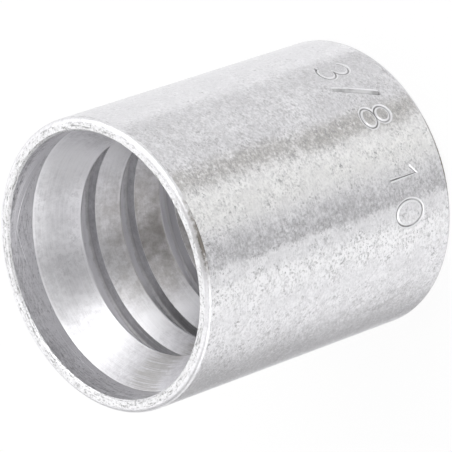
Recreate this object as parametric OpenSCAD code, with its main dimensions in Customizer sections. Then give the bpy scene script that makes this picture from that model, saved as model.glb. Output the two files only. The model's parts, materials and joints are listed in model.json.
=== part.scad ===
// Crimp hose ferrule: a one-piece turned steel sleeve that a press squeezes onto a hose.
// It stands on its fitting end, with the mouth that takes the hose facing up.
// The origin is the centre of the fitting end, and +Z is the axis of the sleeve.

/* [Hose] */
// Clear diameter over the rib crests, which the hose slides through
crest_d = 18.6; // [16.5:0.1:21]

/* [Sleeve] */
// Outside diameter before crimping
outer_d = 25; // [24:0.1:32]
// Wall behind the groove floors
wall = 1.15; // [0.8:0.05:3]
// Overall length from the fitting end to the mouth
length = 28.3; // [22:0.1:45]
// Radius on the outer edge of the mouth
mouth_round = 0.45; // [0.1:0.05:0.8]
// Radius on the outer edge of the fitting end
end_round = 0.3; // [0.1:0.05:0.6]

/* [Mouth] */
// Depth of the straight mouth in front of the first rib
mouth_depth = 2.7; // [1:0.1:5]
// Chamfer on the inner edge of the mouth
mouth_chamfer = 0.18; // [0.05:0.01:0.5]

/* [Ribs] */
// Slope of the rib cones, measured from the axis
cone_angle = 30; // [20:1:45]
// Width of the flat on each crest
crest_land = 0.15; // [0.1:0.05:0.6]
// Distance from one crest to the next
rib_pitch = 4.5; // [3.5:0.1:6]
// Width of the groove behind each rib
groove_w = 2.5; // [1.5:0.1:3]
// Radius in the corners of the groove floors
groove_round = 0.3; // [0.1:0.05:0.5]
// Least width of the chamber between the last rib and the collar
chamber_min = 3; // [2:0.1:6]

/* [Collar] */
// Bore of the collar that locks on the neck of the fitting
collar_d = 15.4; // [12:0.1:16.5]
// Thickness of the collar
collar_len = 3; // [2:0.1:5]
// Chamfer on both edges of the collar bore
collar_chamfer = 0.4; // [0.1:0.05:0.8]

/* [Hidden] */
$fn = 128;

// Cuts run this far past the faces that they open
overrun = 1;

// The groove floors lie one wall inside the sleeve, and the ribs rise from them to the crests
outer_r = outer_d / 2;
bore_r = outer_r - wall;
crest_r = crest_d / 2;
rib_h = bore_r - crest_r;
collar_r = collar_d / 2;

// The straight mouth ends here, and the lead-in cone runs from there to the first crest
mouth_floor_z = length - mouth_depth;
lead_len = rib_h / tan(cone_angle);
first_back_z = mouth_floor_z - lead_len - crest_land;

// Ribs repeat at the pitch for as long as the chamber keeps its least width
ribbed_len = first_back_z - collar_len - chamber_min;
rib_count = 1 + max(0, floor(ribbed_len / rib_pitch));

// Every rib after the first has a radial front and a short cone, no longer than the lead-in
short_cone_len = min(rib_pitch - groove_w - crest_land, lead_len);
front_r = crest_r + short_cone_len * tan(cone_angle);

// Heights of the back and of the radial front of a rib, counted from the mouth
function back_z(i) = first_back_z - i * rib_pitch;
function front_z(i) = back_z(i) + crest_land + short_cone_len;

// Corner of a rectangle that a radius takes away, pointing to +X and +Y
module outer_corner(radius) {
    difference() {
        square(radius + overrun);
        circle(radius);
    }
}

// Half section of the plain blank, with its two outer edges rounded
module blank_section() {
    difference() {
        square([outer_r, length]);
        translate([outer_r - mouth_round, length - mouth_round])
            outer_corner(mouth_round);
        translate([outer_r - end_round, end_round])
            mirror([0, 1])
            outer_corner(end_round);
    }
}

// Cone from one radius to another between two heights, filled to the axis
module cone_section(low_r, low_z, high_r, high_z) {
    polygon([[0, low_z], [low_r, low_z], [high_r, high_z], [0, high_z]]);
}

// Turned groove with radial walls and rounded corners at its floor
module groove_section(low_z, high_z) {
    translate([0, low_z])
        square([bore_r - groove_round, high_z - low_z]);
    translate([0, low_z + groove_round])
        square([bore_r, high_z - low_z - 2 * groove_round]);
    for (z = [low_z + groove_round, high_z - groove_round])
        translate([bore_r - groove_round, z])
        circle(groove_round);
}

// Straight mouth with its edge chamfer
module mouth_section() {
    translate([0, mouth_floor_z])
        square([bore_r, mouth_depth + overrun]);
    cone_section(bore_r, length - mouth_chamfer, bore_r + mouth_chamfer, length);
}

// Long cone that leads the hose onto the first crest
module lead_section() {
    cone_section(crest_r, mouth_floor_z - lead_len, bore_r, mouth_floor_z);
}

// Clear way over the crests, from the mouth to the collar
module crest_section() {
    translate([0, collar_len])
        square([crest_r, mouth_floor_z - collar_len]);
}

// Grooves and short cones between the ribs, and the wider chamber behind the last rib
module rib_section() {
    for (i = [1 : 1 : rib_count - 1]) {
        groove_section(front_z(i), back_z(i - 1));
        cone_section(crest_r, back_z(i) + crest_land, front_r, front_z(i));
    }
    groove_section(collar_len, back_z(rib_count - 1));
}

// Collar bore with a chamfer at each edge
module collar_section() {
    translate([0, -overrun])
        square([collar_r, collar_len + 2 * overrun]);
    cone_section(collar_r + collar_chamfer, 0, collar_r, collar_chamfer);
    cone_section(collar_r, collar_len - collar_chamfer, collar_r + collar_chamfer, collar_len);
}

// The sleeve is one turned piece: its half section is spun round the axis
module ferrule() {
    color("silver")
        rotate_extrude()
        difference() {
            blank_section();
            mouth_section();
            lead_section();
            crest_section();
            rib_section();
            collar_section();
        }
}

ferrule();
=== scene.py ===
"""Looks of a crimp hose ferrule: a zinc-plated turned sleeve that stands on a pale studio floor."""

import json
import logging
import math
from collections.abc import Callable
from dataclasses import dataclass, replace
from enum import Enum
from functools import cached_property

import bpy
from mathutils import Matrix, Vector


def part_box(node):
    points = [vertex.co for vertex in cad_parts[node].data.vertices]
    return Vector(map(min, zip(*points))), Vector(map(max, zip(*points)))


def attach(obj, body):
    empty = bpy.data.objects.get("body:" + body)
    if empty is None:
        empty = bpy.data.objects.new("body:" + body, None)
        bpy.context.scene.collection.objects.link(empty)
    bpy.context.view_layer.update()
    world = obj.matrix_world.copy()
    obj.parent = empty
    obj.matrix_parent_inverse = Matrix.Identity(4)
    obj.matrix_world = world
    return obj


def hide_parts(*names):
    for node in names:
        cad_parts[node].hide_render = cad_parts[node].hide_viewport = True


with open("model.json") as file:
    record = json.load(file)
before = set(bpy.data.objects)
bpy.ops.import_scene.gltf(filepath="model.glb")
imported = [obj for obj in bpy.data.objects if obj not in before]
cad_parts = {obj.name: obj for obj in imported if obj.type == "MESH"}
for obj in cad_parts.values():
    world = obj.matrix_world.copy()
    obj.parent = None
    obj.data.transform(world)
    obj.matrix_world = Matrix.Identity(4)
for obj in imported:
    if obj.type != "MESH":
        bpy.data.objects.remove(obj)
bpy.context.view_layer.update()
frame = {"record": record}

LOG = logging.getLogger("ferrule")

# One millimetre in the scene's metres
MM = 0.001
# Points closer than this are merged
MERGE = 0.001 * MM
NODE = "ferrule"
BODY = "root"

Point = tuple[float, float]
Triple = tuple[float, float, float]
Colour = Triple
Socket = bpy.types.NodeSocket
Value = Socket | float
Inputs = dict[str | int, object]
Marks = tuple[Socket, Socket]

# Colours of worn and rubbed-bright plate (the bright one also paints highlights), of painted reflection bands
# on the wall, and of painted shadow in the bore
DULL: Colour = (0.5, 0.495, 0.51)
BRIGHT: Colour = (0.96, 0.957, 0.97)
WARM_REFLECTION_BAND: Colour = (0.44, 0.425, 0.405)
COOL_REFLECTION_BAND: Colour = (0.44, 0.435, 0.455)
PAINTED_SHADOW: Colour = (0.25, 0.25, 0.255)


class Zone(Enum):
    """The surfaces of the sleeve that were made in different ways."""

    DRAWN_WALL = 0
    EDGE = 1
    RIM = 2
    MOUTH = 3
    CONE = 4
    GROOVE = 5
    RIB_FRONT = 6
    COLLAR = 7
    STAMP = 8


class Figure(Enum):
    """The plain figures of the stamp."""

    ZERO = "0"
    ONE = "1"
    THREE = "3"
    EIGHT = "8"
    SLASH = "/"


def deselect_all(active: bpy.types.Object | None = None) -> None:
    """Go to object mode with nothing selected.

    Args:
        active: The piece to work on next, if there is one.
    """
    if bpy.context.mode != "OBJECT":
        bpy.ops.object.mode_set(mode="OBJECT")
    bpy.ops.object.select_all(action="DESELECT")
    if active is not None:
        bpy.context.view_layer.objects.active = active


def merge_points() -> None:
    """Merge the points of the edited mesh that lie in one place, and select all of it."""
    bpy.ops.mesh.select_all(action="SELECT")
    bpy.ops.mesh.remove_doubles(threshold=MERGE)
    bpy.ops.mesh.select_all(action="SELECT")


def delete_faces(piece: bpy.types.Object, unwanted: Callable[[bpy.types.MeshPolygon], bool]) -> None:
    """Delete the faces of a piece that a test picks out.

    Args:
        piece: The piece.
        unwanted: Test that is true for a face to delete.
    """
    deselect_all(piece)
    bpy.ops.object.mode_set(mode="EDIT")
    bpy.ops.mesh.select_mode(type="FACE")
    bpy.ops.mesh.select_all(action="DESELECT")
    bpy.ops.object.mode_set(mode="OBJECT")
    for face in piece.data.polygons:
        face.select = unwanted(face)
    bpy.ops.object.mode_set(mode="EDIT")
    bpy.ops.mesh.delete(type="FACE")
    bpy.ops.object.mode_set(mode="OBJECT")


def turned(name: str, outline: list[Vector], steps: int) -> bpy.types.Object:
    """Draw a closed outline as a chain of edges and spin it round the axis.

    Args:
        name: Name of the piece.
        outline: Points of radius and height, in millimetres.
        steps: Number of faces round the axis.

    Returns:
        The turned ring.
    """
    deselect_all()
    bpy.ops.mesh.primitive_plane_add(size=MM)
    piece = bpy.context.active_object
    piece.name = name
    bpy.ops.object.mode_set(mode="EDIT")
    bpy.ops.mesh.select_all(action="SELECT")
    bpy.ops.mesh.merge(type="CENTER")
    bpy.ops.transform.translate(value=(outline[0].x * MM, 0, outline[0].y * MM))
    for here, there in zip(outline, outline[1:] + outline[:1]):
        move = ((there.x - here.x) * MM, 0, (there.y - here.y) * MM)
        bpy.ops.mesh.extrude_region_move(TRANSFORM_OT_translate={"value": move})
    merge_points()
    bpy.ops.mesh.spin(steps=steps, angle=math.tau, center=(0, 0, 0), axis=(0, 0, 1))
    merge_points()
    bpy.ops.mesh.normals_make_consistent(inside=False)
    bpy.ops.object.mode_set(mode="OBJECT")
    return piece


def polar(radius: float, bearing: float, height: float) -> Vector:
    """Find a point from its radius, its bearing in radians from the camera's side, and its height."""
    return Vector((-radius * math.sin(bearing), -radius * math.cos(bearing), height))


def arc(centre: Point, radii: Point, start: float, end: float, steps: int) -> list[Point]:
    """Trace an elliptical arc between two angles, in degrees from +X towards +Y, in straight steps."""
    angles = [math.radians(start + (end - start) * i / steps) for i in range(steps + 1)]
    return [(centre[0] + radii[0] * math.cos(a), centre[1] + radii[1] * math.sin(a)) for a in angles]


@dataclass(frozen=True)
class Corner:
    """A corner of the turned section, with the surface that runs on from it.

    Attributes:
        radius: Distance from the axis, in millimetres.
        height: Height above the floor, in millimetres.
        edge: Radius that softens the corner, in millimetres.
        zone: Surface from this corner to the next.
        edge_zone: Surface of the softened corner itself.
    """

    radius: float
    height: float
    edge: float
    zone: Zone
    edge_zone: Zone

    @property
    def place(self) -> Vector:
        """The corner as a flat vector of radius and height."""
        return Vector((self.radius, self.height))


@dataclass(frozen=True)
class SleeveSection:
    """Half section of the sleeve, in millimetres. The main sizes come from the frame.

    Attributes:
        outer_r: Radius of the drawn wall.
        length: Overall length.
        bore_r: Radius of the mouth and the groove floors.
        crest_r: Radius of the rib crests.
        collar_r: Radius of the collar bore.
        mouth_depth: Depth of the straight mouth.
        mouth_chamfer: Chamfer on the inner edge of the mouth.
        mouth_round: Radius on the outer edge of the mouth.
        end_round: Radius on the outer edge of the fitting end.
        cone_angle: Slope of the rib cones from the axis, in degrees.
        crest_land: Width of the flat on each crest.
        rib_pitch: Distance from crest to crest.
        rib_count: Number of ribs.
        groove_w: Width of a groove.
        groove_round: Radius in the corners of the groove floors.
        collar_len: Thickness of the collar.
        collar_chamfer: Chamfer on the edges of the collar bore.
        stamp_band: Heights between which the wall has a row of faces of its own for the stamp.
        fine_edge: Radius on the edges that a tool leaves nearly sharp.
        edge_steps: Faces across a softened corner.
    """

    outer_r: float
    length: float
    bore_r: float
    crest_r: float
    collar_r: float
    mouth_depth: float = 2.7
    mouth_chamfer: float = 0.18
    mouth_round: float = 0.45
    end_round: float = 0.3
    cone_angle: float = 30.0
    crest_land: float = 0.15
    rib_pitch: float = 4.5
    rib_count: int = 4
    groove_w: float = 2.5
    groove_round: float = 0.3
    collar_len: float = 3.0
    collar_chamfer: float = 0.4
    stamp_band: Point = (2.4, 7.6)
    fine_edge: float = 0.05
    edge_steps: int = 5

    @classmethod
    def from_frame(cls) -> "SleeveSection":
        """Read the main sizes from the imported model.

        Returns:
            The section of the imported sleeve.
        """
        low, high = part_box(NODE)
        radii = {m["name"]: m["dims"].get("r_mm") for m in frame["record"]["mounts"]}
        return cls(
            outer_r=(high.x - low.x) / 2 / MM,
            length=(high.z - low.z) / MM,
            bore_r=radii["mouth_bore"],
            crest_r=radii["hose_bore"],
            collar_r=radii["collar_bore"],
        )

    @property
    def wall(self) -> float:
        """Thickness of the wall at the mouth."""
        return self.outer_r - self.bore_r

    @property
    def mouth_floor(self) -> float:
        """Height at which the straight mouth ends."""
        return self.length - self.mouth_depth

    @property
    def cone_rise(self) -> float:
        """Radius that a cone gains for each millimetre of height."""
        return math.tan(math.radians(self.cone_angle))

    def back(self, rib: int) -> float:
        """Find the height of the back of a rib, counted from the mouth."""
        lead = (self.bore_r - self.crest_r) / self.cone_rise
        return self.mouth_floor - lead - self.crest_land - rib * self.rib_pitch

    def front(self, rib: int) -> float:
        """Find the height of the radial front of a rib after the first."""
        return self.back(rib - 1) - self.groove_w

    def wall_corners(self) -> list[Corner]:
        """List the corners of the drawn wall and the rim, from the fitting end up.

        Returns:
            The corners in order.
        """
        wall, edge = Zone.DRAWN_WALL, Zone.EDGE
        low, high = self.stamp_band
        inner_r = self.bore_r + self.mouth_chamfer
        return [
            Corner(self.outer_r, 0.0, self.end_round, wall, edge),
            Corner(self.outer_r, low, 0.0, wall, wall),
            Corner(self.outer_r, high, 0.0, wall, wall),
            Corner(self.outer_r, self.length, self.mouth_round, Zone.RIM, edge),
            Corner(inner_r, self.length, self.fine_edge, Zone.RIM, Zone.RIM),
            Corner(self.bore_r, self.length - self.mouth_chamfer, self.fine_edge, Zone.MOUTH, Zone.RIM),
        ]

    def rib_corners(self) -> list[Corner]:
        """List the corners of the ribs and grooves, from the mouth down.

        Returns:
            The corners in order.
        """
        fine = self.fine_edge
        corners = [Corner(self.bore_r, self.mouth_floor, fine, Zone.CONE, Zone.CONE)]
        for rib in range(self.rib_count):
            back = self.back(rib)
            if rib:
                front = self.front(rib)
                front_r = self.crest_r + (front - back - self.crest_land) * self.cone_rise
                corners += [
                    Corner(self.bore_r, front, self.groove_round, Zone.RIB_FRONT, Zone.RIB_FRONT),
                    Corner(front_r, front, fine, Zone.CONE, Zone.RIB_FRONT),
                ]
            corners += [
                Corner(self.crest_r, back + self.crest_land, fine, Zone.CONE, Zone.CONE),
                Corner(self.crest_r, back, fine, Zone.GROOVE, Zone.CONE),
                Corner(self.bore_r, back, self.groove_round, Zone.GROOVE, Zone.GROOVE),
            ]
        return corners

    def collar_corners(self) -> list[Corner]:
        """List the corners of the chamber's floor and the collar, down to the fitting end.

        Returns:
            The corners in order.
        """
        fine, zone = self.fine_edge, Zone.COLLAR
        wide_r = self.collar_r + self.collar_chamfer
        return [
            Corner(self.bore_r, self.collar_len, self.groove_round, zone, zone),
            Corner(wide_r, self.collar_len, fine, zone, zone),
            Corner(self.collar_r, self.collar_len - self.collar_chamfer, fine, zone, zone),
            Corner(self.collar_r, self.collar_chamfer, fine, zone, zone),
            Corner(wide_r, 0.0, fine, zone, zone),
        ]

    def outline(self) -> list[tuple[Vector, Zone]]:
        """Soften every corner and trace the whole section.

        Returns:
            The points in order, each with the surface that runs on from it.
        """
        corners = self.wall_corners() + self.rib_corners() + self.collar_corners()
        traced: list[tuple[Vector, Zone]] = []
        for i, corner in enumerate(corners):
            after = corners[(i + 1) % len(corners)]
            points = self.soften(corners[i - 1].place, corner, after.place)
            traced += [(p, corner.edge_zone) for p in points[:-1]] + [(points[-1], corner.zone)]
        return traced

    def soften(self, before: Vector, corner: Corner, after: Vector) -> list[Vector]:
        """Replace a corner by a small arc.

        Args:
            before: Place of the corner before this one.
            corner: The corner.
            after: Place of the corner after it.

        Returns:
            The points of the arc, or the corner itself where it stays sharp.
        """
        if corner.edge == 0:
            return [corner.place]
        back, ahead = (before - corner.place).normalized(), (after - corner.place).normalized()
        half = back.angle(ahead) / 2
        centre = corner.place + (back + ahead).normalized() * corner.edge / math.sin(half)
        reach = corner.edge / math.tan(half)
        first = (corner.place + back * reach - centre).normalized()
        last = (corner.place + ahead * reach - centre).normalized()
        steps = self.edge_steps
        return [centre + first.slerp(last, i / steps) * corner.edge for i in range(steps + 1)]


@dataclass(frozen=True)
class Stamp:
    """Row of plain size figures pressed into the wall near the fitting end, in millimetres.

    Attributes:
        row: Each figure with its bearing in degrees.
        height: Height of the row's middle line above the floor.
        tall: Height of a figure.
        grooves: Radius of each round cut along a stroke, with the distance of its centre outside the wall.
        slash_weight: Width of the cuts of the slash, in widths of the other figures' cuts.
        skin: Distance within which a face counts as lying on the wall, or on the row's inside.
        sliver: Distance within which a face counts as an end of the row.
        closed_gap: A stroke whose ends lie closer than this is closed, in heights of a figure.
    """

    row: tuple[tuple[Figure, float], ...] = (
        (Figure.THREE, -47.0),
        (Figure.SLASH, -33.5),
        (Figure.EIGHT, -20.5),
        (Figure.ONE, 5.0),
        (Figure.ZERO, 19.5),
    )
    height: float = 4.85
    tall: float = 3.1
    grooves: tuple[Point, ...] = ((0.3, 0.18), (0.075, -0.1))
    slash_weight: float = 1.3
    skin: float = 0.1
    sliver: float = 0.001
    closed_gap: float = 1e-6

    @staticmethod
    def strokes(figure: Figure) -> list[list[Point]]:
        """Draw a figure with single strokes, in units of its height.

        Args:
            figure: The figure to draw.

        Returns:
            The strokes, each a list of points round the figure's middle.
        """
        bowl, turn = 0.25, 360.0
        upper, lower = (0.0, bowl), (0.0, -bowl)
        three = arc(upper, (0.27, bowl), 155, -90, 22) + arc(lower, (0.3, bowl), 90, -155, 22)[1:]
        drawn: dict[Figure, list[list[Point]]] = {
            Figure.ZERO: [arc((0, 0), (0.36, 0.5), 0, turn, 40)],
            Figure.ONE: [[(0.02, -0.5), (0.02, 0.5), (-0.2, 0.3)]],
            Figure.THREE: [three],
            Figure.EIGHT: [arc(upper, (0.25, bowl), 0, turn, 32), arc(lower, (0.31, bowl), 0, turn, 32)],
            Figure.SLASH: [[(-0.3, -0.65), (0.3, 0.65)]],
        }
        return drawn[figure]

    def band(
        self, section: SleeveSection, steps: int, materials: list[bpy.types.Material]
    ) -> bpy.types.Object:
        """Make the row of the wall that carries the figures.

        Args:
            section: The sleeve's section.
            steps: Faces round the sleeve.
            materials: Finishes in the order of the zones.

        Returns:
            The outer faces of the row, with the figures cut in.
        """
        low, high = section.stamp_band
        inner_r = section.outer_r - section.wall / 2
        corners = [(section.outer_r, low), (section.outer_r, high), (inner_r, high), (inner_r, low)]
        ring = turned("stamp_band", [Vector(corner) for corner in corners], steps)
        self.paint(ring, materials, Zone.DRAWN_WALL)
        for groove_r, lift in self.grooves:
            tool = self.cutter(groove_r, section.outer_r + lift)
            self.paint(tool, materials, Zone.STAMP)
            cut = ring.modifiers.new("stamp", "BOOLEAN")
            cut.operation = "DIFFERENCE"
            cut.solver = "EXACT"
            cut.use_self = True
            cut.object = tool
            deselect_all(ring)
            bpy.ops.object.modifier_apply(modifier=cut.name)
            bpy.data.objects.remove(tool)
        bottom, top = (low + self.sliver) * MM, (high - self.sliver) * MM
        inside = (inner_r + self.skin) * MM
        delete_faces(ring, lambda f: not bottom < f.center.z < top or f.center.xy.length < inside)
        return ring

    @staticmethod
    def paint(piece: bpy.types.Object, materials: list[bpy.types.Material], zone: Zone) -> None:
        """Give a piece all the finishes, and every face the finish of one surface.

        Args:
            piece: The piece.
            materials: Finishes in the order of the zones.
            zone: The surface.
        """
        for material in materials:
            piece.data.materials.append(material)
        for face in piece.data.polygons:
            face.material_index = zone.value

    def cutter(self, groove_r: float, centre_r: float) -> bpy.types.Object:
        """Lay the strokes round the wall as tubes.

        Args:
            groove_r: Radius of the tubes, in millimetres.
            centre_r: Distance of their centre lines from the axis, in millimetres.

        Returns:
            One mesh that holds all the tubes.
        """
        deselect_all()
        bpy.ops.curve.primitive_bezier_curve_add()
        curve = bpy.context.active_object.data
        curve.splines.clear()
        curve.bevel_depth = groove_r * MM
        curve.bevel_resolution = 2
        curve.use_fill_caps = True
        for figure, bearing in self.row:
            weight = self.slash_weight if figure is Figure.SLASH else 1.0
            for stroke in self.strokes(figure):
                spline = self.add_stroke(curve, stroke, bearing, centre_r)
                spline.points.foreach_set("radius", [weight] * len(spline.points))
        bpy.ops.object.convert(target="MESH")
        tool = bpy.context.active_object
        tool.name = "stamp_tool"
        return tool

    def add_stroke(
        self, curve: bpy.types.Curve, stroke: list[Point], bearing: float, centre_r: float
    ) -> bpy.types.Spline:
        """Add one stroke to the curve that draws the stamp.

        Args:
            curve: The curve to add to.
            stroke: Points in units of a figure's height.
            bearing: Bearing of the figure's middle, in degrees.
            centre_r: Distance of the stroke from the axis, in millimetres.

        Returns:
            The new part of the curve.
        """
        closed = math.dist(stroke[0], stroke[-1]) < self.closed_gap
        points = stroke[:-1] if closed else stroke
        spline = curve.splines.new("POLY")
        spline.points.add(len(points) - 1)
        spline.use_cyclic_u = closed
        for target, (x, y) in zip(spline.points, points):
            turn = math.radians(bearing) + x * self.tall / centre_r
            place = polar(centre_r, turn, self.height - y * self.tall) * MM
            target.co = (*place, 1.0)
        return spline


class Graph:
    """A material and its nodes, added one at a time. Places are in millimetres, angles in degrees."""

    def __init__(self, name: str) -> None:
        """Start a material with a principled shader.

        Args:
            name: Name of the material.
        """
        self.material = bpy.data.materials.new(name)
        self.material.use_nodes = True
        self.nodes = self.material.node_tree.nodes
        self.links = self.material.node_tree.links
        self.shader = self.nodes["Principled BSDF"]

    @cached_property
    def place(self) -> Socket:
        """Place on the piece."""
        metres = self.add("ShaderNodeTexCoord").outputs["Object"]
        return self.add("ShaderNodeMapping", {"Vector": metres, "Scale": (1 / MM,) * 3}).outputs[0]

    @cached_property
    def split(self) -> bpy.types.NodeOutputs:
        """Place on the piece, axis by axis."""
        return self.add("ShaderNodeSeparateXYZ", {0: self.place}).outputs

    @cached_property
    def height(self) -> Socket:
        """Height above the floor."""
        return self.split["Z"]

    @cached_property
    def from_axis(self) -> Socket:
        """Level line from the axis to the place."""
        return self.stretch((1.0, 1.0, 0.0))

    @cached_property
    def radius(self) -> Socket:
        """Distance from the axis."""
        return self.vector("LENGTH", self.from_axis)

    @cached_property
    def outward(self) -> Socket:
        """Level direction away from the axis."""
        return self.vector("NORMALIZE", self.from_axis)

    @cached_property
    def bearing(self) -> Socket:
        """Angle round the axis from the side that faces the camera, positive towards -X."""
        x, y = (self.times(self.split[axis], -1.0) for axis in "XY")
        return self.math("DEGREES", self.math("ARCTAN2", x, y))

    def add(self, kind: str, inputs: Inputs | None = None, **settings: str) -> bpy.types.Node:
        """Add a node.

        Args:
            kind: Blender's name of the node.
            inputs: Constants or output sockets by the name or number of the node's input.
            **settings: Properties of the node.

        Returns:
            The node.
        """
        node = self.nodes.new(kind)
        for key, value in settings.items():
            setattr(node, key, value)
        for key, value in (inputs or {}).items():
            self.feed(node.inputs[key], value)
        return node

    def feed(self, socket: Socket, value: object) -> None:
        """Link a socket to an output, or set its constant.

        Args:
            socket: The input to feed.
            value: An output socket or a constant.
        """
        if isinstance(value, Socket):
            self.links.new(value, socket)
        else:
            socket.default_value = value

    def math(self, operation: str, *values: Value) -> Socket:
        """Combine numbers with a Math node."""
        return self.add("ShaderNodeMath", dict(enumerate(values)), operation=operation).outputs[0]

    def times(self, first: Value, second: Value) -> Socket:
        """Multiply two numbers."""
        return self.math("MULTIPLY", first, second)

    def minus(self, first: Value, second: Value) -> Socket:
        """Take a number from another."""
        return self.math("SUBTRACT", first, second)

    def clamp(self, value: Value, most: float = 1.0) -> Socket:
        """Keep a number between nothing and a limit."""
        return self.math("MINIMUM", self.math("MAXIMUM", value, 0.0), most)

    def total(self, *terms: tuple[Value, float], start: Value = 0.0) -> Socket:
        """Add up patterns.

        Args:
            *terms: Each pattern with its weight.
            start: Number that they are added to.

        Returns:
            The sum.
        """
        for pattern, weight in terms:
            start = self.math("MULTIPLY_ADD", pattern, weight, start)
        return start

    def swing(self, *terms: tuple[Socket, float], about: float = 0.0) -> Socket:
        """Add up noise patterns, each with its weight, so that the sum swings about a number."""
        return self.total(*terms, start=about - 0.5 * sum(weight for _, weight in terms))

    def vector(self, operation: str, *values: Socket | Vector | Triple) -> Socket:
        """Combine vectors with a Vector Math node."""
        node = self.add("ShaderNodeVectorMath", dict(enumerate(values)), operation=operation)
        return node.outputs["Value" if operation in ("LENGTH", "DOT_PRODUCT") else "Vector"]

    def stretch(self, scale: Triple) -> Socket:
        """Scale the place on the piece, axis by axis."""
        return self.add("ShaderNodeMapping", {"Vector": self.place, "Scale": scale}).outputs[0]

    def round_axis(self, turn: float, lean: float = 0.0) -> Socket:
        """Wrap the place round the axis, so that a pattern runs along the tool marks.

        Args:
            turn: Patches in a radian for each patch in a millimetre across the marks.
            lean: Slope of the marks, which lie in tilted planes.

        Returns:
            The wrapped place.
        """
        ring = self.vector("MULTIPLY", self.outward, (turn, turn, turn))
        across = self.math("ADD", self.radius, self.height)
        across = self.total((self.split["X"], lean), start=across)
        lift = self.add("ShaderNodeCombineXYZ", {"Z": across}).outputs[0]
        return self.vector("ADD", ring, lift)

    def noise(
        self, per_mm: float, detail: float = 3.0, rough: float = 0.55, where: Socket | None = None
    ) -> Socket:
        """Add a noise pattern round 0.5.

        Args:
            per_mm: Number of patches in a millimetre.
            detail: Number of finer layers.
            rough: Strength of the finer layers.
            where: The place to read it at, if it isn't the place on the piece.

        Returns:
            The pattern.
        """
        place = self.place if where is None else where
        inputs = {"Vector": place, "Scale": per_mm, "Detail": detail, "Roughness": rough}
        return self.add("ShaderNodeTexNoise", inputs).outputs[0]

    def remap(
        self, value: Value, low: float, high: float, to_low: float = 0.0, to_high: float = 1.0
    ) -> Socket:
        """Map a span of numbers to another, with a soft start and end."""
        inputs = {"Value": value, "From Min": low, "From Max": high, "To Min": to_low, "To Max": to_high}
        return self.add("ShaderNodeMapRange", inputs, interpolation_type="SMOOTHSTEP").outputs[0]

    def spots(
        self, span: Point, per_mm: float, detail: float = 3.0, rough: float = 0.55, to: Point = (0.0, 1.0)
    ) -> Socket:
        """Mark the patches of a noise pattern that rise through a span of its numbers."""
        return self.remap(self.noise(per_mm, detail, rough), *span, *to)

    def apart(self, value: Value, middle: float) -> Socket:
        """Find how far a number is from a given one."""
        return self.math("ABSOLUTE", self.minus(value, middle))

    def near(self, value: Value, middle: float, reach: float) -> Socket:
        """Mark where a number is close to a given one, fading to nothing at its reach."""
        return self.remap(self.apart(value, middle), 0.0, reach, 1.0, 0.0)

    def mix(self, factor: Value, first: Socket | Colour, second: Socket | Colour) -> Socket:
        """Mix two colours.

        Args:
            factor: Share of the second colour.
            first: First colour.
            second: Second colour.

        Returns:
            The mixed colour.
        """
        node = self.add("ShaderNodeMix", data_type="RGBA")
        colours = [socket for socket in node.inputs if socket.type == "RGBA"]
        self.feed(node.inputs[0], factor)
        for socket, value in zip(colours, (first, second)):
            self.feed(socket, value if isinstance(value, Socket) else (*value, 1.0))
        return next(socket for socket in node.outputs if socket.type == "RGBA")

    def bump(
        self, height: Value, distance: float, strength: float = 1.0, normal: Socket | None = None
    ) -> Socket:
        """Turn a pattern into relief.

        Args:
            height: The pattern.
            distance: Height of the relief, in millimetres.
            strength: Share of the relief that is used.
            normal: Relief that lies under this one.

        Returns:
            The normal.
        """
        inputs = {"Height": height, "Distance": distance * MM, "Strength": strength}
        if normal is not None:
            inputs["Normal"] = normal
        return self.add("ShaderNodeBump", inputs).outputs[0]

    def metal(
        self, colour: Socket, roughness: Socket, normal: Socket, anisotropy: float
    ) -> bpy.types.Material:
        """Finish the material as bare metal.

        Args:
            colour: Base colour.
            roughness: Roughness.
            normal: Relief.
            anisotropy: Stretch of the gloss along the axis of the sleeve.

        Returns:
            The finished material.
        """
        inputs, quarter_turn = self.shader.inputs, 0.25
        self.feed(inputs["Base Color"], colour)
        self.feed(inputs["Roughness"], roughness)
        self.feed(inputs["Normal"], normal)
        inputs["Metallic"].default_value = 1.0
        if anisotropy:
            inputs["Anisotropic"].default_value = anisotropy
            inputs["Anisotropic Rotation"].default_value = quarter_turn
            around = self.add("ShaderNodeTangent", direction_type="RADIAL", axis="Z").outputs[0]
            self.feed(inputs["Tangent"], around)
        return self.material


@dataclass(frozen=True)
class Streak:
    """A streak that runs along the wall, an edge or a tool mark, as a stain of other plate and, in most uses,
    as a painted reflection, highlight or shadow.

    Attributes:
        bearing: Strongest line of the streak, in degrees from the camera's side.
        before: Distance over which it comes up, in degrees.
        after: Distance over which it fades, in degrees.
        depth: Share of the plate that it covers on its strongest line.
        tint: Colour of the stain, painted reflection, highlight or shadow in it.
        broken: How far the grain of the plate breaks it up, from 0, smooth, to 1, speckled.
        full: Strength of line and grain together at which it covers as much as it can.
    """

    bearing: float
    before: float
    after: float
    depth: float
    tint: Colour = DULL
    broken: float = 1.0
    full: float = 1.2

    def cover(self, graph: Graph) -> Socket:
        """Find how close a place is to the strongest line.

        Args:
            graph: The material's nodes.

        Returns:
            One on the strongest line, fading to nothing.
        """
        rise = graph.remap(graph.bearing, self.bearing - self.before, self.bearing)
        fall = graph.remap(graph.bearing, self.bearing, self.bearing + self.after, 1.0, 0.0)
        return graph.math("MINIMUM", rise, fall)

    def stain(self, graph: Graph, grain: Socket, plate: Socket) -> Socket:
        """Lay the streak over the plate, broken up by a grain.

        Args:
            graph: The material's nodes.
            grain: Pattern round one that breaks the streak up.
            plate: Colour of the plate.

        Returns:
            The colour with the streak.
        """
        ragged = graph.total((grain, self.broken), start=1.0 - self.broken)
        cover = graph.times(self.cover(graph), ragged)
        return graph.mix(graph.remap(cover, 0.0, self.full, 0.0, self.depth), plate, self.tint)


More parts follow.
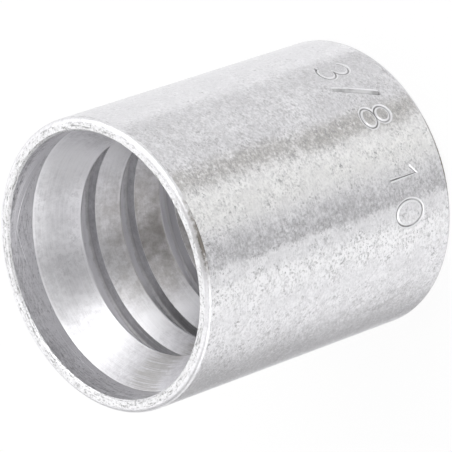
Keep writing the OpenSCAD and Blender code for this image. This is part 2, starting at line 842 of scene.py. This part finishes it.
@dataclass(frozen=True)
class Score:
    """A slanting line that a tool left in the mouth.

    Attributes:
        bearing: Middle of the line, in degrees from the camera's side.
        height: Height of its middle, in millimetres.
        rise: Height gained over its whole length, in millimetres.
        reach: Half its length, in degrees.
        width: Half its width, in millimetres.
        bright: Dullness that it takes off.
    """

    bearing: float
    height: float
    rise: float
    reach: float
    width: float
    bright: float = 0.6

    def line(self, graph: Graph) -> Socket:
        """Draw the line.

        Args:
            graph: The material's nodes.

        Returns:
            One on the line, nothing away from it.
        """
        along = graph.minus(graph.bearing, self.bearing)
        level = graph.total((along, -self.rise / (2.0 * self.reach)), start=graph.height)
        across = graph.near(level, self.height, self.width)
        return graph.times(across, graph.near(along, 0.0, self.reach))


@dataclass(frozen=True)
class Finish:
    """Zinc-plated steel. Each kind of surface adds its own marks.

    Attributes:
        name: Name of the material.
        pale: Colour of clean plate.
        dull: Colour of plate in pits, stains and tool marks.
        roughness: Roughness of clean plate.
        worn: Roughness that full dullness adds.
        anisotropy: Stretch of the gloss along the sleeve.
    """

    name: str
    pale: Colour = (0.884, 0.88, 0.9)
    dull: Colour = DULL
    roughness: float = 0.4
    worn: float = 0.12
    anisotropy: float = 0.0

    def material(self) -> bpy.types.Material:
        """Build the material.

        Returns:
            The material.
        """
        graph = Graph(self.name)
        shade, normal = self.marks(graph)
        shade = graph.clamp(shade)
        rough = graph.total((shade, self.worn), start=self.roughness)
        return graph.metal(self.colour(graph, shade), rough, normal, self.anisotropy)

    def colour(self, graph: Graph, shade: Socket) -> Socket:
        """Colour the plate by its dullness."""
        return graph.mix(shade, self.pale, self.dull)

    def marks(self, graph: Graph) -> Marks:
        """Draw the marks of the surface, as dullness from 0 to 1 and relief."""
        raise NotImplementedError


@dataclass(frozen=True)
class SatinWall(Finish):
    """Drawn outer wall: satin plate with a fine hammered grain, specks, hair marks, streaks, and painted
    reflection bands and painted highlights round it.

    Attributes:
        bright: Colour of the plate on raised grains and in hair marks.
        cloudy: Colour of the plate where it is faintly clouded.
        spent: Share of the plate that its pits take all over.
        most: Largest share that they take anywhere.
        streaks_and_painted_light: Bands along the wall: painted reflections of the gaps between the lamps and
            painted highlights, with the plate's own drawn streaks.
        stirred: How much rougher the grain is in a broken streak.
        grain: Grains in a millimetre.
        relief: Height of the grain, in millimetres.
        front: Bearing of the side on which the grain is roughest, in degrees.
        front_fade: Distances from there over which it becomes finer, in degrees.
        back_rise: Distances from there over which it becomes rougher again, in degrees.
    """

    bright: Colour = BRIGHT
    cloudy: Colour = (0.83, 0.825, 0.845)
    spent: float = 0.17
    most: float = 0.8
    streaks_and_painted_light: tuple[Streak, ...] = ()
    stirred: float = 2.0
    grain: float = 4.8
    relief: float = 0.06
    front: float = 12.0
    front_fade: Point = (32.0, 65.0)
    back_rise: Point = (95.0, 125.0)

    def material(self) -> bpy.types.Material:
        """Build the material from grain, specks, painted reflection bands and highlights, and hair marks.

        Returns:
            The material.
        """
        graph = Graph(self.name)
        grain = graph.noise(self.grain, detail=4.0, rough=0.7, where=graph.stretch((0.75, 0.75, 1.0)))
        mottle = graph.noise(1.3, detail=4.0, rough=0.6)
        drift = graph.noise(0.14, detail=2.0)
        ragged = graph.swing((grain, 3.0), (mottle, 2.6), (drift, 3.2), about=1.0)
        colour = graph.mix(graph.noise(0.35), self.pale, self.cloudy)
        busy = self.lively(graph)
        # Painted reflection bands and painted highlights, partly the plate's own streaks
        for streak in self.streaks_and_painted_light:
            colour = streak.stain(graph, ragged, colour)
            busy = graph.total((streak.cover(graph), self.stirred * streak.depth * streak.broken), start=busy)
        specks = graph.spots((0.57, 0.72), 5.0, detail=2.0, rough=0.5)
        pits = graph.swing((grain, 2.2), (mottle, 1.0), about=-0.05)
        pits = graph.total((specks, 0.5), (self.scuffs(graph), 1.3), start=pits)
        uneven = graph.math("MULTIPLY_ADD", pits, busy, self.spent)
        dark = graph.clamp(uneven, self.most)
        colour = graph.mix(dark, colour, self.dull)
        hairs = graph.times(self.hairs(graph), 0.5)
        lit = graph.math("MAXIMUM", graph.times(uneven, -0.6), hairs)
        colour = graph.mix(lit, colour, self.bright)
        rough = graph.total((dark, self.worn), start=self.roughness)
        height = graph.total((grain, 1.0), (specks, -0.3), (hairs, 0.5))
        return graph.metal(colour, rough, graph.bump(height, self.relief), self.anisotropy)

    def lively(self, graph: Graph) -> Socket:
        """Find how rough the grain is, which changes in patches and round the wall.

        Args:
            graph: The material's nodes.

        Returns:
            The strength of the grain, one where it is roughest.
        """
        patch = graph.spots((0.4, 0.62), 0.6, detail=4.0, to=(0.35, 1.0))
        apart = graph.apart(graph.bearing, self.front)
        front = graph.remap(apart, *self.front_fade, 1.0, 0.45)
        back = graph.remap(apart, *self.back_rise, 0.0, 0.5)
        return graph.times(patch, graph.math("ADD", front, back))

    @staticmethod
    def scuffs(graph: Graph) -> Socket:
        """Draw ragged dark spots that lie in loose groups."""
        groups = graph.spots((0.42, 0.58), 0.3, detail=2.0)
        return graph.times(graph.spots((0.58, 0.68), 1.5, detail=6.0, rough=0.8), groups)

    @staticmethod
    def hairs(graph: Graph) -> Socket:
        """Draw short fine scratches that lie in all directions."""
        line = graph.near(graph.noise(1.8, detail=2.0, rough=0.5), 0.5, reach=0.02)
        return graph.times(line, graph.spots((0.5, 0.6), 1.3, detail=1.0))


@dataclass(frozen=True)
class FacedRim(Finish):
    """Faced rim: bright, with broken dark lines round it and fine pits.

    Attributes:
        relief: Height of the pits, in millimetres.
    """

    relief: float = 0.03

    def marks(self, graph: Graph) -> Marks:
        """Draw the broken lines and pits.

        Args:
            graph: The material's nodes.

        Returns:
            Dullness from 0 to 1, and the relief.
        """
        grain = graph.noise(4.0, detail=4.0, rough=0.65)
        pits = graph.spots((0.56, 0.68), 5.5, detail=2.0, rough=0.5)
        lines = graph.noise(5.5, detail=4.0, rough=0.65, where=graph.round_axis(2.4))
        dashes = graph.remap(lines, 0.52, 0.68)
        shade = graph.total((pits, 0.55), (dashes, 0.9), start=graph.swing((grain, 1.0), about=0.1))
        height = graph.total((grain, 1.0), (pits, -0.6), (dashes, -0.6))
        return shade, graph.bump(height, self.relief)


@dataclass(frozen=True)
class RolledEdge(Finish):
    """Rounded outer edge with dark pits along its borders and a brown smear.

    Attributes:
        wall_line: Height at which the rounding leaves the wall, in millimetres.
        rim_line: Radius at which it meets the rim, in millimetres.
        foot_line: Height at which the rounding of the other end leaves the wall, in millimetres.
        border: Half the width of the pitted borders, in millimetres.
        foot_border: Half the width of the dull border at the other end, in millimetres.
        relief: Height of the pits, in millimetres.
        smear: Brown stain on the edge.
        smear_fade: Heights above the wall line between which the smear fades, in millimetres.
    """

    wall_line: float = 0.0
    rim_line: float = 0.0
    foot_line: float = 0.0
    border: float = 0.12
    foot_border: float = 0.2
    relief: float = 0.03
    smear: Streak = Streak(6.0, 34.0, 20.0, 1.0, (0.19, 0.175, 0.16), 0.6)
    smear_fade: Point = (0.2, 0.42)

    def marks(self, graph: Graph) -> Marks:
        """Draw the dotted borders and the grain.

        Args:
            graph: The material's nodes.

        Returns:
            Dullness from 0 to 1, and the relief.
        """
        grain = graph.noise(5.0, detail=4.0, rough=0.6)
        dots = graph.remap(graph.noise(4.0, rough=0.6, where=graph.round_axis(5.0)), 0.47, 0.62)
        low = graph.near(graph.height, self.wall_line, self.border)
        high = graph.near(graph.radius, self.rim_line, self.border)
        foot = graph.near(graph.height, self.foot_line, self.foot_border)
        pits = graph.times(graph.math("MAXIMUM", low, high), dots)
        shade = graph.swing((grain, 0.8), about=0.22)
        shade = graph.total((pits, 0.7), (dots, 0.15), (foot, 0.35), start=shade)
        height = graph.total((grain, 1.0), (pits, -0.8))
        return shade, graph.bump(height, self.relief)

    def colour(self, graph: Graph, shade: Socket) -> Socket:
        """Colour the plate by its dullness, and stain it at the mouth.

        Args:
            graph: The material's nodes.
            shade: Dullness from 0 to 1.

        Returns:
            The colour.
        """
        plate = Finish.colour(self, graph, shade)
        ragged = graph.swing((graph.noise(2.2, detail=4.0, rough=0.65), 6.0), about=1.0)
        low, high = (self.wall_line + rise for rise in self.smear_fade)
        fades = graph.remap(graph.height, low, high, 1.0, 0.1)
        return self.smear.stain(graph, graph.times(ragged, fades), plate)


@dataclass(frozen=True)
class TurnedFace(Finish):
    """Face left by a turning tool: fine lines round the axis, with mottles, stains, tarnish, painted
    highlights and painted shade.

    Attributes:
        lines: Tool marks in a millimetre.
        mark: Weight of the tool marks in the dullness.
        mottle: Weight of the fine mottles in the dullness.
        stain: Weight of the broad stains in the dullness.
        relief: Height of the tool marks, in millimetres.
        lighter: Dullness taken off all over.
        tarnish_and_shade: Share of the deep faces that is darkened on one side: tarnish on the cones, painted
            shade in the mouth, painted shadow in the grooves.
        tarnish_and_shade_span: Heights between which it fades, in millimetres.
        tarnish_and_shade_bearing: Side on which it lies, in degrees from the camera's side.
        tarnish_and_shade_edge: Cosines of the angles from that side between which it fades.
        tarnish_and_shade_colour: Colour of the tarnish and of the painted shade.
        streaks_and_painted_light: Streaks along the tool marks: swarf stains, painted highlights and painted
            shadow.
        frost: Dullness that pale frosted patches take off.
        burnish_and_highlight_lips: Radii at which a thin bright edge runs round the face, in millimetres: a
            painted highlight on the crests, a burnished edge at the outer border.
        lip_w: Half the width of such an edge, in millimetres.
        lip_bright: Dullness that it takes off.
    """

    lines: float = 7.0
    mark: float = 0.5
    mottle: float = 0.5
    stain: float = 0.4
    relief: float = 0.008
    lighter: float = 0.3
    tarnish_and_shade: float = 0.0
    tarnish_and_shade_span: Point = (15.0, 23.0)
    tarnish_and_shade_bearing: float = -172.0
    tarnish_and_shade_edge: Point = (0.72, 0.97)
    tarnish_and_shade_colour: Colour = (0.33, 0.31, 0.29)
    streaks_and_painted_light: tuple[Streak, ...] = ()
    frost: float = 0.0
    burnish_and_highlight_lips: tuple[float, ...] = ()
    lip_w: float = 0.12
    lip_bright: float = 0.5

    def marks(self, graph: Graph) -> Marks:
        """Draw the tool marks, mottles and stains.

        Args:
            graph: The material's nodes.

        Returns:
            Dullness from 0 to 1, and the relief.
        """
        lines = graph.noise(self.lines, detail=4.0, rough=0.65, where=graph.round_axis(0.25))
        fine = graph.noise(2.2 * self.lines, detail=2.0, where=graph.round_axis(0.12))
        mottle = graph.noise(1.6, detail=5.0, rough=0.78)
        blotch = graph.noise(0.45, detail=4.0, rough=0.6)
        terms = (lines, self.mark), (fine, 0.5 * self.mark), (blotch, self.stain), (mottle, self.mottle)
        shade = graph.swing(*terms, about=0.5 - self.lighter)
        shade = graph.minus(shade, self.pale_marks(graph))
        height = graph.total((lines, 1.0), (fine, 0.5), (mottle, 0.5))
        return shade, graph.bump(height, self.relief)

    def pale_marks(self, graph: Graph) -> Socket:
        """Draw the frosted patches, and the bright edges, partly burnished and partly painted highlight.

        Args:
            graph: The material's nodes.

        Returns:
            Dullness that they take off.
        """
        ice = graph.spots((0.46, 0.62), 2.0, detail=6.0, rough=0.8)
        clouds = graph.spots((0.44, 0.58), 0.3, detail=2.0, to=(0.0, self.frost))
        # Thin bright edges: painted highlight on the crests, burnished edge at the outer border
        edges = ((graph.near(graph.radius, lip, self.lip_w), self.lip_bright) for lip in self.burnish_and_highlight_lips)
        return graph.total(*edges, start=graph.times(ice, clouds))

    def colour(self, graph: Graph, shade: Socket) -> Socket:
        """Colour the plate by its dullness, lay its streaks and painted light, and darken one side in patches
        where it lies deep, as tarnish and as painted shade.

        Args:
            graph: The material's nodes.
            shade: Dullness from 0 to 1.

        Returns:
            The colour.
        """
        plate = Finish.colour(self, graph, shade)
        # Streaks along the tool marks: swarf stains, painted highlights and painted shadow
        if self.streaks_and_painted_light:
            lines = graph.noise(5.0, detail=4.0, rough=0.65, where=graph.round_axis(0.6))
            ragged = graph.swing((lines, 7.0), about=1.0)
            for streak in self.streaks_and_painted_light:
                plate = streak.stain(graph, ragged, plate)
        # Darken one side where it lies deep: tarnish on the cones, painted shade in the mouth, painted shadow
        # in the grooves
        deep = graph.remap(graph.height, *self.tarnish_and_shade_span, self.tarnish_and_shade, 0.0)
        patches = graph.spots((0.2, 0.75), 0.8, detail=5.0, rough=0.7, to=(0.3, 1.0))
        side = polar(1.0, math.radians(self.tarnish_and_shade_bearing), 0.0)
        facing = graph.remap(graph.vector("DOT_PRODUCT", graph.outward, side), *self.tarnish_and_shade_edge)
        amount = graph.times(deep, graph.times(facing, patches))
        return graph.mix(amount, plate, self.tarnish_and_shade_colour)


@dataclass(frozen=True)
class ShadedGroove(TurnedFace):
    """Groove with painted shade in its rounded corners and painted light in the deepest groove.

    Attributes:
        floor_r: Radius of the groove's floor, in millimetres.
        corner: Radius of its corners, in millimetres.
        corner_shade: Share of the corners that the painted shade covers.
        corner_shade_start: Distances from the floor between which the painted shade comes up, in millimetres.
        corner_shade_colour: Colour of the painted shade.
        deep_groove_light: Dullness taken off in the deepest groove, as painted light.
        deep_groove_light_span: Heights between which that fades, in millimetres.
    """

    floor_r: float = 0.0
    corner: float = 0.3
    corner_shade: float = 0.4
    corner_shade_start: Point = (0.002, 0.04)
    corner_shade_colour: Colour = (0.34, 0.335, 0.335)
    deep_groove_light: float = 0.6
    deep_groove_light_span: Point = (11.5, 14.0)

    def marks(self, graph: Graph) -> Marks:
        """Draw the tool marks, with painted light in the deepest groove.

        Args:
            graph: The material's nodes.

        Returns:
            Dullness from 0 to 1, and the relief.
        """
        shade, normal = TurnedFace.marks(self, graph)
        # Painted light: the deepest groove is made paler
        deep = graph.remap(graph.height, *self.deep_groove_light_span, self.deep_groove_light, 0.0)
        return graph.minus(shade, deep), normal

    def colour(self, graph: Graph, shade: Socket) -> Socket:
        """Colour the plate, and paint shade in the rounded corners.

        Args:
            graph: The material's nodes.
            shade: Dullness from 0 to 1.

        Returns:
            The colour.
        """
        plate = TurnedFace.colour(self, graph, shade)
        edge = graph.minus(self.floor_r, graph.radius)
        # Painted shade in the rounded corners
        corner_shaded = graph.remap(edge, *self.corner_shade_start, 0.0, self.corner_shade)
        fades = graph.remap(edge, 0.5 * self.corner, self.corner, 1.0, 0.0)
        return graph.mix(graph.times(corner_shaded, fades), plate, self.corner_shade_colour)


@dataclass(frozen=True)
class StampGroove(Finish):
    """Pressed figure: a thin border, bright shoulders and painted shade in the crease.

    Attributes:
        wall_r: Radius of the wall, in millimetres.
        border: Depths between which the border ends, in millimetres.
        crease_shade: Depths between which the painted shade in the crease starts, in millimetres.
        relief: Height of the grain, in millimetres.
    """

    wall_r: float = 0.0
    border: Point = (0.012, 0.036)
    crease_shade: Point = (0.108, 0.132)
    relief: float = 0.02

    def marks(self, graph: Graph) -> Marks:
        """Darken the border, and paint shade in the crease.

        Args:
            graph: The material's nodes.

        Returns:
            Dullness from 0 to 1, and the relief.
        """
        grain = graph.noise(5.0)
        down = graph.minus(self.wall_r, graph.radius)
        border = graph.remap(down, *self.border, 1.0, 0.0)
        uneven = graph.spots((0.3, 0.7), 0.7, to=(0.4, 1.0))
        # Painted shade deep in the crease, in patches
        crease_shade = graph.times(graph.remap(down, *self.crease_shade), uneven)
        shade = graph.total((grain, 0.2), (border, 0.4), (crease_shade, 0.85))
        return shade, graph.bump(grain, self.relief, strength=0.6)


@dataclass(frozen=True)
class ScoredMouth(TurnedFace):
    """Straight mouth with fine crossing scratches, slanting score lines where a tool ran out, and painted
    shade towards the rim.

    Attributes:
        scores: The lines.
        score_relief: Height of the lines, in millimetres.
        leans: Slopes of the scratches.
        hatch: Weight of the scratches in the dullness.
        span: Heights of its foot and its rim, in millimetres.
        rim_shade: Painted shade added at the rim and painted light at the foot, as dullness.
    """

    scores: tuple[Score, ...] = ()
    score_relief: float = 0.03
    leans: tuple[float, ...] = (0.3, -0.2)
    hatch: float = 1.3
    span: Point = (0.0, 1.0)
    rim_shade: float = 0.28

    def marks(self, graph: Graph) -> Marks:
        """Draw the tool marks, the scratches, the pits and the score lines.

        Args:
            graph: The material's nodes.

        Returns:
            Dullness from 0 to 1, and the relief.
        """
        shade, normal = TurnedFace.marks(self, graph)
        cut = graph.total(*((score.line(graph), score.bright) for score in self.scores))
        pits = graph.spots((0.5, 0.7), 4.5, rough=0.6)
        # Painted shade towards the rim, painted light towards the foot
        rim_shade = graph.remap(graph.height, *self.span, -self.rim_shade, self.rim_shade)
        scratches = (graph.noise(6.0, where=graph.round_axis(0.7, lean)) for lean in self.leans)
        hatch = graph.swing(*((scratch, self.hatch) for scratch in scratches))
        shade = graph.total((cut, -1.0), (pits, 0.35), (hatch, 1.0), (rim_shade, 1.0), start=shade)
        height = graph.total((cut, 1.0), (pits, -0.3))
        return shade, graph.bump(height, self.score_relief, normal=normal)


def outside_finishes(section: SleeveSection) -> dict[Zone, Finish]:
    """Choose the finish of the wall, its edges, the rim and the stamp.

    Args:
        section: The sleeve's section.

    Returns:
        The finishes by surface.
    """
    # Painted reflections: dark bands for the gaps between the lamps, pale and bright bands as painted
    # highlights, with the drawn plate's own streaks
    streaks_and_painted_light = (
        Streak(-6.0, 22.0, 16.0, 1.0, (0.93, 0.926, 0.918), 0.0),
        Streak(-48.0, 13.0, 26.0, 0.6, broken=0.3),
        Streak(-29.0, 18.0, 18.0, 0.54, broken=0.3),
        Streak(-20.5, 9.0, 11.0, 0.8, WARM_REFLECTION_BAND, 0.45),
        Streak(13.0, 17.0, 4.5, 0.66, COOL_REFLECTION_BAND, 0.45),
        Streak(25.0, 7.0, 16.0, 0.9, BRIGHT, 0.3),
        Streak(72.0, 38.0, 18.0, 0.82, broken=0.3),
        Streak(104.0, 9.0, 12.0, 0.5, COOL_REFLECTION_BAND, 0.8),
        Streak(146.0, 22.0, 9.0, 0.6, WARM_REFLECTION_BAND, 0.6),
        Streak(-163.0, 12.0, 24.0, 0.55, broken=0.5),
        Streak(-110.0, 14.0, 12.0, 0.6, WARM_REFLECTION_BAND, 0.8),
    )
    return {
        Zone.DRAWN_WALL: SatinWall(
            "satin_wall",
            pale=(0.924, 0.92, 0.938),
            dull=(0.4, 0.396, 0.408),
            roughness=0.5,
            anisotropy=0.95,
            streaks_and_painted_light=streaks_and_painted_light,
        ),
        Zone.EDGE: RolledEdge(
            "rolled_edge",
            wall_line=section.length - section.mouth_round,
            rim_line=section.outer_r - section.mouth_round,
            foot_line=section.end_round,
        ),
        Zone.RIM: FacedRim(
            "faced_rim",
            pale=(0.79, 0.787, 0.8),
            dull=(0.38, 0.38, 0.38),
            roughness=0.45,
        ),
        Zone.STAMP: StampGroove(
            "stamp_groove",
            # The dull colour is the painted shade in the crease
            dull=(0.27, 0.27, 0.27),
            roughness=0.36,
            wall_r=section.outer_r,
        ),
    }


def bore_finishes(section: SleeveSection) -> dict[Zone, Finish]:
    """Choose the finish of the mouth, the ribs and grooves, and the collar.

    Args:
        section: The sleeve's section.

    Returns:
        The finishes by surface.
    """
    scores = (
        Score(-143.0, 27.0, -2.2, 26.0, 0.08),
        Score(-150.0, 27.2, -1.6, 30.0, 0.05, 0.4),
        Score(-128.0, 26.9, -2.4, 22.0, 0.06, 0.5),
        Score(-136.0, 26.7, -2.0, 26.0, 0.05, 0.35),
        Score(-162.0, 26.9, 1.4, 16.0, 0.06, 0.4),
        Score(146.0, 26.2, 0.2, 26.0, 0.05, 0.4),
        # The broad last line is a pale patch: partly scouring, partly painted highlight
        Score(-132.0, 27.0, -1.9, 36.0, 0.8, 1.0),
    )
    # Pale streaks at -116 and 145 are painted highlights on the cones; the other two darken the plate, at 110
    # as a brownish swarf stain
    swarf_and_painted_highlights = (
        Streak(-116.0, 30.0, 26.0, 0.9, BRIGHT, 0.2),
        Streak(-151.0, 13.0, 13.0, 0.3, broken=0.4),
        Streak(145.0, 20.0, 16.0, 0.9, BRIGHT, 0.2),
        Streak(110.0, 18.0, 16.0, 0.75, (0.48, 0.472, 0.45)),
    )
    # Painted shadow on the rib fronts
    painted_shadow_streaks = (
        Streak(120.0, 14.0, 60.0, 0.7, PAINTED_SHADOW, 0.3),
        Streak(-114.0, 18.0, 14.0, 0.75, PAINTED_SHADOW, 0.3),
    )
    # The painted shadow is full up to this far above the back of the second rib, and ends below the first
    # groove
    shadow_rise = 0.6
    groove = ShadedGroove(
        "groove_floor",
        roughness=0.55,
        mottle=1.7,
        lighter=0.6,
        # Painted shadow: the grooves are darkened on the side at bearing 128
        tarnish_and_shade=1.0,
        tarnish_and_shade_span=(section.back(1) + shadow_rise, section.front(1)),
        tarnish_and_shade_bearing=128.0,
        tarnish_and_shade_colour=PAINTED_SHADOW,
        floor_r=section.bore_r,
    )
    return {
        Zone.MOUTH: ScoredMouth(
            "scored_mouth",
            dull=(0.36, 0.356, 0.37),
            roughness=0.38,
            lighter=0.36,
            mottle=1.6,
            stain=0.9,
            # Painted shade: the far side of the mouth is darkened
            tarnish_and_shade=0.3,
            tarnish_and_shade_span=(section.length, section.length + 1.0),
            tarnish_and_shade_bearing=178.0,
            tarnish_and_shade_colour=DULL,
            scores=scores,
            span=(section.mouth_floor, section.length),
        ),
        Zone.CONE: TurnedFace(
            "turned_cone",
            roughness=0.36,
            anisotropy=0.6,
            mark=0.7,
            mottle=1.5,
            lighter=0.23,
            tarnish_and_shade=0.95,
            streaks_and_painted_light=swarf_and_painted_highlights,
            frost=0.5,
            burnish_and_highlight_lips=(section.bore_r, section.crest_r),
        ),
        Zone.GROOVE: groove,
        # Rib fronts: painted shadow, as on the groove floors
        Zone.RIB_FRONT: replace(groove, name="rib_front", lighter=0.28, tarnish_and_shade=0.2, streaks_and_painted_light=painted_shadow_streaks),
        Zone.COLLAR: TurnedFace("turned_collar", roughness=0.38),
    }


@dataclass(frozen=True)
class Sleeve:
    """The turned sleeve as one mesh.

    Attributes:
        section: Half section that is spun round the axis.
        stamp: Figures pressed into the wall.
        steps: Faces round the sleeve.
        smooth_angle: Edges sharper than this stay crisp, in degrees.
    """

    section: SleeveSection
    stamp: Stamp
    steps: int = 288
    smooth_angle: float = 32.0

    def build(self) -> bpy.types.Object:
        """Model the sleeve and dress it.

        Returns:
            The finished piece.
        """
        piece = turned("sleeve", [point for point, _ in self.section.outline()], self.steps)
        self.dress(piece)
        band = self.stamp.band(self.section, self.steps, list(piece.data.materials))
        delete_faces(piece, self.in_band)
        deselect_all(piece)
        band.select_set(True)
        piece.select_set(True)
        bpy.ops.object.join()
        bpy.ops.object.mode_set(mode="EDIT")
        merge_points()
        bpy.ops.object.mode_set(mode="OBJECT")
        bpy.ops.object.shade_smooth_by_angle(angle=math.radians(self.smooth_angle))
        return piece

    def in_band(self, face: bpy.types.MeshPolygon) -> bool:
        """Tell whether a face lies in the row of the wall that the stamp takes.

        Args:
            face: The face.

        Returns:
            True if it does.
        """
        low, high = self.section.stamp_band
        on_wall = face.center.xy.length > (self.section.outer_r - self.stamp.skin) * MM
        return on_wall and low * MM < face.center.z < high * MM

    def dress(self, piece: bpy.types.Object) -> None:
        """Give every face the finish of its surface.

        Args:
            piece: The plain sleeve.
        """
        finishes = outside_finishes(self.section) | bore_finishes(self.section)
        for zone in Zone:
            piece.data.materials.append(finishes[zone].material())
        outline = self.section.outline()
        ends = outline[1:] + outline[:1]
        middles = [((a + b) / 2, zone) for (a, zone), (b, _) in zip(outline, ends)]
        known: dict[Point, int] = {}
        for face in piece.data.polygons:
            place = Vector((face.center.xy.length, face.center.z)) / MM
            key = (round(place.x, 3), round(place.y, 3))
            if key not in known:
                known[key] = min(middles, key=lambda m: (m[0] - place).length)[1].value
            face.material_index = known[key]


@dataclass(frozen=True)
class PaleFloor:
    """White floor that keeps a faint shadow.

    Attributes:
        name: Name of the material.
        colour: Colour of the floor.
        shadow_share: Share of the floor's look that comes from the light on it.
    """

    name: str = "pale_floor"
    colour: Colour = (0.92, 0.92, 0.92)
    shadow_share: float = 0.1

    def material(self) -> bpy.types.Material:
        """Build the floor's material.

        Returns:
            The material.
        """
        graph = Graph(self.name)
        path = graph.add("ShaderNodeLightPath").outputs
        seen = graph.math("MAXIMUM", path["Is Camera Ray"], path["Is Glossy Ray"])
        seen = graph.math("MAXIMUM", seen, path["Is Transmission Ray"])
        matt = graph.add("ShaderNodeBsdfDiffuse", {"Color": (*self.colour, 1.0)}).outputs[0]
        white = graph.add("ShaderNodeEmission").outputs[0]
        share = graph.times(seen, 1.0 - self.shadow_share)
        mixed = graph.add("ShaderNodeMixShader", {0: share, 1: matt, 2: white}).outputs[0]
        graph.feed(graph.nodes["Material Output"].inputs["Surface"], mixed)
        graph.nodes.remove(graph.shader)
        return graph.material


@dataclass(frozen=True)
class Softbox:
    """A soft studio lamp that looks at the sleeve.

    Attributes:
        name: Name of the lamp.
        bearing: Angle round the axis from the camera's side, in degrees.
        elevation: Angle of its middle above the floor, in degrees.
        wide: Angle that it fills sideways, in degrees.
        tall: Angle that it fills upwards, in degrees.
        level: Brightness of its face, where 1 is white.
        distance: Distance from the sleeve, in metres.
    """

    name: str
    bearing: float
    elevation: float
    wide: float
    tall: float
    level: float
    distance: float = 0.7

    def build(self, target: Vector) -> bpy.types.Object:
        """Add the lamp.

        Args:
            target: The point that it looks at.

        Returns:
            The lamp.
        """
        lift = math.radians(self.elevation)
        away = polar(math.cos(lift), math.radians(self.bearing), math.sin(lift))
        deselect_all()
        bpy.ops.object.light_add(type="AREA", location=target + away * self.distance)
        lamp = bpy.context.active_object
        lamp.name = self.name
        lamp.rotation_euler = away.to_track_quat("Z", "Y").to_euler()
        lamp.visible_camera = False
        lamp.data.shape = "RECTANGLE"
        lamp.data.size = self.side(self.wide)
        lamp.data.size_y = self.side(self.tall)
        lamp.data.energy = self.level * math.pi * lamp.data.size * lamp.data.size_y
        return lamp

    def side(self, angle: float) -> float:
        """Find the length of a side that fills an angle, in degrees, at the lamp's distance."""
        return 2 * self.distance * math.tan(math.radians(angle) / 2)


@dataclass(frozen=True)
class Studio:
    """Floor, lamps, sky and camera.

    Attributes:
        softboxes: The lamps.
        sky: Brightness of the even light from all round.
        floor_size: Side of the floor, in metres.
        floor_gap: Distance of the floor under the sleeve, in millimetres.
        sensor: Width of the camera's sensor, in millimetres.
        lens_widths: Focal length as a multiple of the picture's width.
        clip: Nearest and farthest distance that the camera shows, in metres.
        mouth_in_view: Middle of the mouth seen from the camera, in outer radii: right, down, ahead.
        axis_in_view: Direction from the mouth to the fitting end in the same view.
        mouth_inset: Distance of that middle below the rim, in millimetres.
    """

    softboxes: tuple[Softbox, ...] = (
        Softbox("key_box", -66.0, 31.0, 62.0, 30.0, 2.02),
        Softbox("high_box", -64.0, 56.0, 66.0, 26.0, 2.05),
        Softbox("front_strip", -3.0, 6.0, 34.0, 14.0, 3.0),
        Softbox("side_strip", 62.0, 6.5, 80.0, 16.0, 2.85),
        Softbox("side_box", 85.0, 55.0, 75.0, 28.0, 1.45),
        Softbox("back_box", -150.0, 35.0, 80.0, 64.0, 1.02),
        Softbox("far_box", 155.0, 42.0, 50.0, 40.0, 0.5),
    )
    sky: float = 0.27
    floor_size: float = 2.0
    floor_gap: float = 0.01
    sensor: float = 36.0
    lens_widths: float = 10.9625
    clip: Point = (0.01, 10.0)
    mouth_in_view: Triple = (-0.80174, 0.26016, 32.35279)
    axis_in_view: Triple = (0.71536, -0.24769, 0.65338)
    mouth_inset: float = 0.18

    def build(self, section: SleeveSection) -> None:
        """Set the studio up round the sleeve.

        Args:
            section: The sleeve's section.
        """
        self.lay_floor()
        self.light_sky()
        target = Vector((0, 0, section.length / 2 * MM))
        for softbox in self.softboxes:
            LOG.info("lamp %s", softbox.build(target).name)
        self.aim_camera(section)
        bpy.context.scene.view_settings.view_transform = "Standard"

    def lay_floor(self) -> None:
        """Lay a plain pale floor."""
        deselect_all()
        bpy.ops.mesh.primitive_plane_add(size=self.floor_size, location=(0, 0, -self.floor_gap * MM))
        floor = bpy.context.active_object
        floor.name = "floor"
        floor.data.materials.append(PaleFloor().material())

    def light_sky(self) -> None:
        """Light the scene evenly from all round."""
        world = bpy.data.worlds.new("studio")
        world.use_nodes = True
        inputs = world.node_tree.nodes["Background"].inputs
        inputs["Strength"].default_value = self.sky
        inputs["Color"].default_value = (1, 1, 1, 1)
        bpy.context.scene.world = world

    def aim_camera(self, section: SleeveSection) -> None:
        """Put the camera where the photograph was taken from.

        Args:
            section: The sleeve's section.
        """
        up = -Vector(self.axis_in_view).normalized()
        right = Vector((0, 0, 1)).cross(up).normalized()
        ahead = up.cross(right)
        view_to_frame = Matrix((right, ahead, up))
        mouth = Vector((0, 0, section.length - self.mouth_inset)) * MM
        reach = view_to_frame @ Vector(self.mouth_in_view) * section.outer_r * MM
        deselect_all()
        bpy.ops.object.camera_add(location=mouth - reach)
        camera = bpy.context.active_object
        camera.name = "camera"
        flip = Matrix.Diagonal((1, -1, -1))
        camera.rotation_euler = (view_to_frame @ flip).to_euler()
        camera.data.sensor_width = self.sensor
        camera.data.lens = self.sensor * self.lens_widths
        camera.data.clip_start, camera.data.clip_end = self.clip
        bpy.context.scene.camera = camera


def main() -> None:
    """Build the sleeve and its studio."""
    logging.basicConfig(level=logging.INFO, format="%(name)s: %(message)s")
    section = SleeveSection.from_frame()
    sleeve = Sleeve(section, Stamp()).build()
    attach(sleeve, BODY)
    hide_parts(NODE)
    LOG.info("piece %s: %d faces", sleeve.name, len(sleeve.data.polygons))
    Studio().build(section)


if __name__ == "__main__":
    main()
